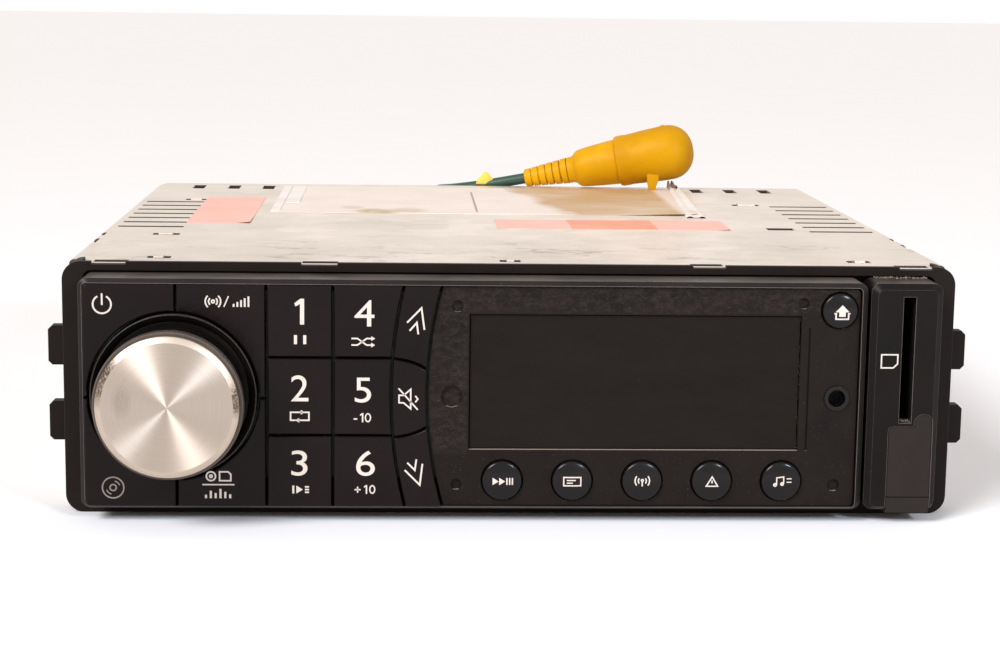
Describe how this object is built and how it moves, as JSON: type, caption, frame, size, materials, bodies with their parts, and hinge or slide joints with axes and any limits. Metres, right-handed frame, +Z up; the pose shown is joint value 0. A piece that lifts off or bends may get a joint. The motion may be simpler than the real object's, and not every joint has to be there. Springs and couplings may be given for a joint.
{
  "type": "car cd player",
  "caption": "Single-slot car disc player with a drop-down front panel, push-and-turn knob, sprung keys, covered side socket, vented steel case and a rear cable to a line socket.",
  "frame": {"origin": "under the middle of the part without its free cable, in the plane of the pressed field that it rests on", "axes": "+X to the right as seen from the front, +Y from the front panel to the rear, +Z up"},
  "size_m": [0.186, 0.2504, 0.0689],
  "materials": {
    "zinc_sheet": "galvanised, dull",
    "bright_steel": "satin",
    "dark_aluminium": "as extruded",
    "frame_plastic": "fine matt grain",
    "panel_gloss": "gloss, worn",
    "key_gloss": "gloss",
    "plate_plastic": "matt, dusty",
    "display_glass": "matt film on glass",
    "knob_plastic": "fine knurl",
    "spun_aluminium": "spun face",
    "soft_rubber": "soft, matt",
    "cap_rubber": "soft, matt, yellow",
    "cable_jacket": "smooth jacket, dark green",
    "socket_plastic": "moulded, yellow",
    "connector_plastic": "moulded",
    "board_laminate": "solder mask",
    "gear_plastic": "self-coloured",
    "disc_plastic": "moulded",
    "cast_sled": "cast",
    "felt": "short pile"
  },
  "bodies": {
    "chassis": {"chassis_tray": "zinc_sheet", "top_cover": "zinc_sheet", "rear_stud": "bright_steel", "heat_sink": "dark_aluminium", "front_frame": "frame_plastic", "slot_felts": "felt", "card_panel": "panel_gloss", "card_reader": "bright_steel", "usb_socket": "bright_steel", "usb_cover_root": "soft_rubber", "main_board": "board_laminate", "power_connector": "connector_plastic", "antenna_socket": "bright_steel", "cable_gland": "soft_rubber", "video_cable": "cable_jacket", "line_socket": "socket_plastic", "dust_cap": "cap_rubber", "deck_frame": "zinc_sheet", "deck_dampers": "soft_rubber", "disc_guide": "frame_plastic", "deck_motors": "bright_steel"},
    "front_panel": {"panel_bezel": "panel_gloss", "panel_back": "frame_plastic", "panel_board": "board_laminate", "display_plate": "plate_plastic", "display_module": "display_glass", "knob_surround": "panel_gloss", "corner_cover": "key_gloss", "aux_jack": "connector_plastic", "encoder": "bright_steel"},
    "knob_turn": {"encoder_rotor": "gear_plastic"},
    "knob": {"knob_body": "knob_plastic", "knob_face": "spun_aluminium"},
    "power_key": {"power_key": "key_gloss"},
    "band_key": {"band_key": "key_gloss"},
    "mode_key": {"mode_key": "key_gloss"},
    "key_1": {"key_1": "key_gloss"},
    "key_2": {"key_2": "key_gloss"},
    "key_3": {"key_3": "key_gloss"},
    "key_4": {"key_4": "key_gloss"},
    "key_5": {"key_5": "key_gloss"},
    "key_6": {"key_6": "key_gloss"},
    "track_up_key": {"track_up_key": "key_gloss"},
    "mute_key": {"mute_key": "key_gloss"},
    "track_down_key": {"track_down_key": "key_gloss"},
    "scan_button": {"scan_button": "key_gloss"},
    "display_button": {"display_button": "key_gloss"},
    "station_button": {"station_button": "key_gloss"},
    "traffic_button": {"traffic_button": "key_gloss"},
    "program_button": {"program_button": "key_gloss"},
    "eject_button": {"eject_button": "key_gloss"},
    "socket_cover": {"usb_cover": "soft_rubber"},
    "roller": {"loading_roller": "soft_rubber", "roller_gear": "gear_plastic"},
    "motor_pinion": {"motor_pinion": "gear_plastic"},
    "turntable": {"turntable": "disc_plastic"},
    "clamp_arm": {"clamp_arm": "zinc_sheet"},
    "clamp_puck": {"clamp_puck": "disc_plastic"},
    "pickup_sled": {"pickup_sled": "cast_sled"},
    "lead_screw": {"lead_screw": "bright_steel"}
  },
  "joints": [
    {"name": "panel_open", "type": "hinge", "parent": "chassis", "child": "front_panel", "pos_m": [0, -0.0826, 0.0053], "axis": [1, 0, 0], "range_deg": [0, 90]},
    {"name": "knob_rotation", "type": "hinge", "parent": "front_panel", "child": "knob_turn", "pos_m": [-0.0668, -0.0878, 0.0256], "axis": [0, 1, 0], "continuous": true},
    {"name": "knob_push", "type": "slide", "parent": "knob_turn", "child": "knob", "axis": [0, 1, 0], "range_m": [0, 0.0008], "stiffness_N_per_m": 2500},
    {"name": "power_key_press", "type": "slide", "parent": "front_panel", "child": "power_key", "axis": [0, 1, 0], "range_m": [0, 0.0005], "stiffness_N_per_m": 2500},
    {"name": "band_key_press", "type": "slide", "parent": "front_panel", "child": "band_key", "axis": [0, 1, 0], "range_m": [0, 0.0005], "stiffness_N_per_m": 2500},
    {"name": "mode_key_press", "type": "slide", "parent": "front_panel", "child": "mode_key", "axis": [0, 1, 0], "range_m": [0, 0.0005], "stiffness_N_per_m": 2500},
    {"name": "key_1_press", "type": "slide", "parent": "front_panel", "child": "key_1", "axis": [0, 1, 0], "range_m": [0, 0.0005], "stiffness_N_per_m": 2500},
    {"name": "key_2_press", "type": "slide", "parent": "front_panel", "child": "key_2", "axis": [0, 1, 0], "range_m": [0, 0.0005], "stiffness_N_per_m": 2500},
    {"name": "key_3_press", "type": "slide", "parent": "front_panel", "child": "key_3", "axis": [0, 1, 0], "range_m": [0, 0.0005], "stiffness_N_per_m": 2500},
    {"name": "key_4_press", "type": "slide", "parent": "front_panel", "child": "key_4", "axis": [0, 1, 0], "range_m": [0, 0.0005], "stiffness_N_per_m": 2500},
    {"name": "key_5_press", "type": "slide", "parent": "front_panel", "child": "key_5", "axis": [0, 1, 0], "range_m": [0, 0.0005], "stiffness_N_per_m": 2500},
    {"name": "key_6_press", "type": "slide", "parent": "front_panel", "child": "key_6", "axis": [0, 1, 0], "range_m": [0, 0.0005], "stiffness_N_per_m": 2500},
    {"name": "track_up_key_press", "type": "slide", "parent": "front_panel", "child": "track_up_key", "axis": [0, 1, 0], "range_m": [0, 0.0005], "stiffness_N_per_m": 2500},
    {"name": "mute_key_press", "type": "slide", "parent": "front_panel", "child": "mute_key", "axis": [0, 1, 0], "range_m": [0, 0.0005], "stiffness_N_per_m": 2500},
    {"name": "track_down_key_press", "type": "slide", "parent": "front_panel", "child": "track_down_key", "axis": [0, 1, 0], "range_m": [0, 0.0005], "stiffness_N_per_m": 2500},
    {"name": "scan_button_press", "type": "slide", "parent": "front_panel", "child": "scan_button", "axis": [0, 1, 0], "range_m": [0, 0.0005], "stiffness_N_per_m": 2500},
    {"name": "display_button_press", "type": "slide", "parent": "front_panel", "child": "display_button", "axis": [0, 1, 0], "range_m": [0, 0.0005], "stiffness_N_per_m": 2500},
    {"name": "station_button_press", "type": "slide", "parent": "front_panel", "child": "station_button", "axis": [0, 1, 0], "range_m": [0, 0.0005], "stiffness_N_per_m": 2500},
    {"name": "traffic_button_press", "type": "slide", "parent": "front_panel", "child": "traffic_button", "axis": [0, 1, 0], "range_m": [0, 0.0005], "stiffness_N_per_m": 2500},
    {"name": "program_button_press", "type": "slide", "parent": "front_panel", "child": "program_button", "axis": [0, 1, 0], "range_m": [0, 0.0005], "stiffness_N_per_m": 2500},
    {"name": "eject_button_press", "type": "slide", "parent": "front_panel", "child": "eject_button", "axis": [0, 1, 0], "range_m": [0, 0.0005], "stiffness_N_per_m": 2500},
    {"name": "socket_cover_open", "type": "hinge", "parent": "chassis", "child": "socket_cover", "pos_m": [0.07945, -0.0888, 0.00564], "axis": [1, 0, 0], "range_deg": [0, 100]},
    {"name": "roller_turn", "type": "hinge", "parent": "chassis", "child": "roller", "pos_m": [0, -0.0578, 0.0299], "axis": [1, 0, 0], "continuous": true},
    {"name": "pinion_turn", "type": "hinge", "parent": "chassis", "child": "motor_pinion", "pos_m": [-0.0702, -0.04767, 0.02405], "axis": [1, 0, 0], "continuous": true},
    {"name": "turntable_spin", "type": "hinge", "parent": "chassis", "child": "turntable", "pos_m": [0, 0.0062, 0.033], "axis": [0, 0, 1], "continuous": true},
    {"name": "arm_lower", "type": "hinge", "parent": "chassis", "child": "clamp_arm", "pos_m": [0, 0.0602, 0.0417], "axis": [1, 0, 0], "range_deg": [0, 4]},
    {"name": "puck_spin", "type": "hinge", "parent": "clamp_arm", "child": "clamp_puck", "pos_m": [0, 0.0062, 0.04], "axis": [0, 0, 1], "continuous": true},
    {"name": "sled_slide", "type": "slide", "parent": "chassis", "child": "pickup_sled", "axis": [1, 0, 0], "range_m": [-0.016, 0.016]},
    {"name": "screw_turn", "type": "hinge", "parent": "chassis", "child": "lead_screw", "pos_m": [0.03, -0.0138, 0.0294], "axis": [1, 0, 0], "range_deg": [-1925, 1925]}
  ],
  "couplings": [
    {"joint": "pinion_turn", "follows": "roller_turn", "ratio": -2.25},
    {"joint": "puck_spin", "follows": "turntable_spin", "ratio": 1},
    {"joint": "screw_turn", "follows": "sled_slide", "rad_per_m": 2094.4}
  ]
}
